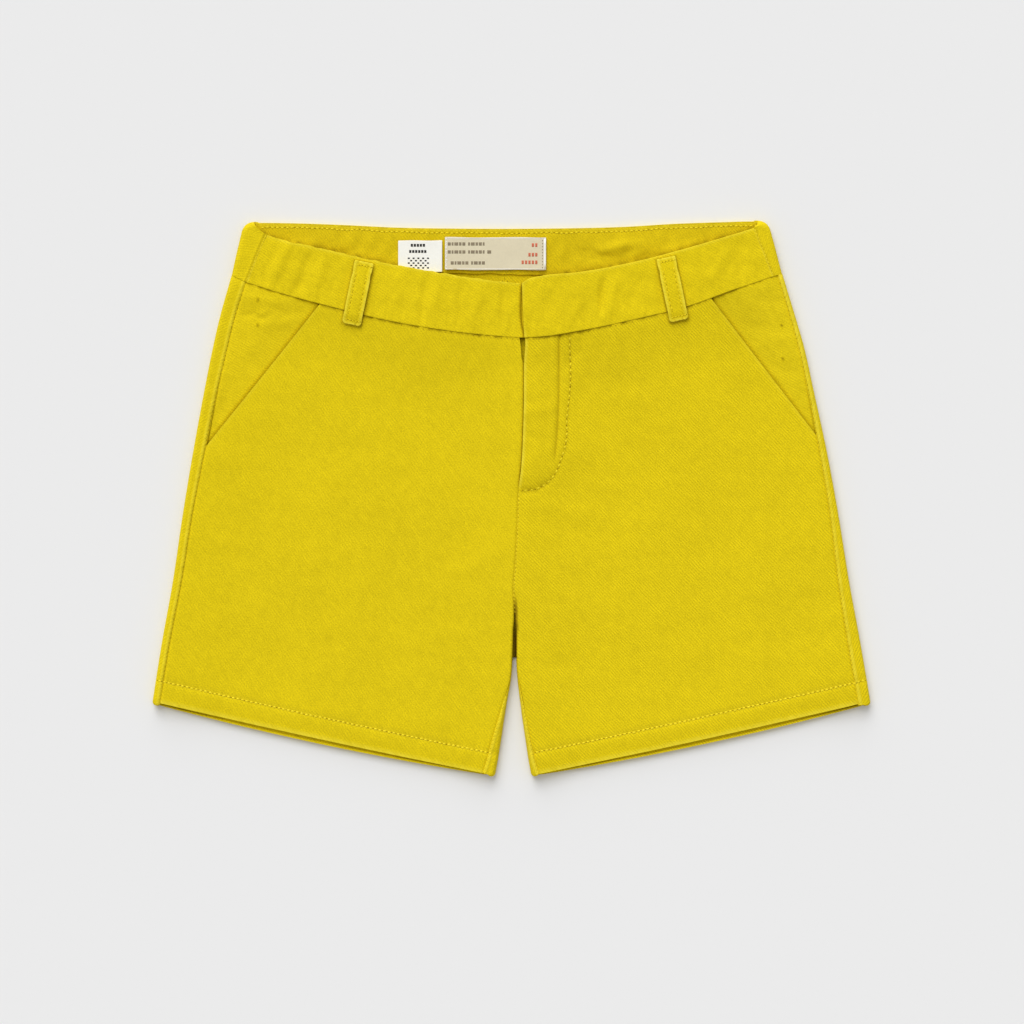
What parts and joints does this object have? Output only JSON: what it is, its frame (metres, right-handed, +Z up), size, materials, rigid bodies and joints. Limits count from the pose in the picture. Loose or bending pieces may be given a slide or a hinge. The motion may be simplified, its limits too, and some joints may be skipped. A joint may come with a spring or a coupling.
{
  "type": "shorts",
  "caption": "Child's chino shorts laid flat with the front up: waistband with belt loops, slant pockets, lapped fly and turned-up hems.",
  "frame": {"origin": "on the surface that the shorts lie on, under the middle of their bounding box", "axes": "+X towards the wearer's left side, which is the viewer's right, +Y towards the waist, +Z up from the surface"},
  "size_m": [0.3596, 0.2773, 0.0084],
  "materials": {
    "leg_twill": "matte yellow cotton twill",
    "band_twill": "matte yellow cotton twill",
    "inside_twill": "matte yellow cotton twill, seen from inside",
    "white_tape": "matte woven tape",
    "beige_tape": "matte woven tape"
  },
  "bodies": {
    "root": {"front_right": "leg_twill", "front_left": "leg_twill", "pocket_facing_right": "leg_twill", "pocket_facing_left": "leg_twill", "back_right": "leg_twill", "back_left": "leg_twill", "fly_shield": "leg_twill", "waistband_front_right": "band_twill", "waistband_front_left": "band_twill", "waistband_back": "band_twill", "waistband_back_facing": "inside_twill", "belt_loop_right": "band_twill", "belt_loop_left": "band_twill", "label_size": "white_tape", "label_care": "beige_tape"}
  },
  "joints": []
}
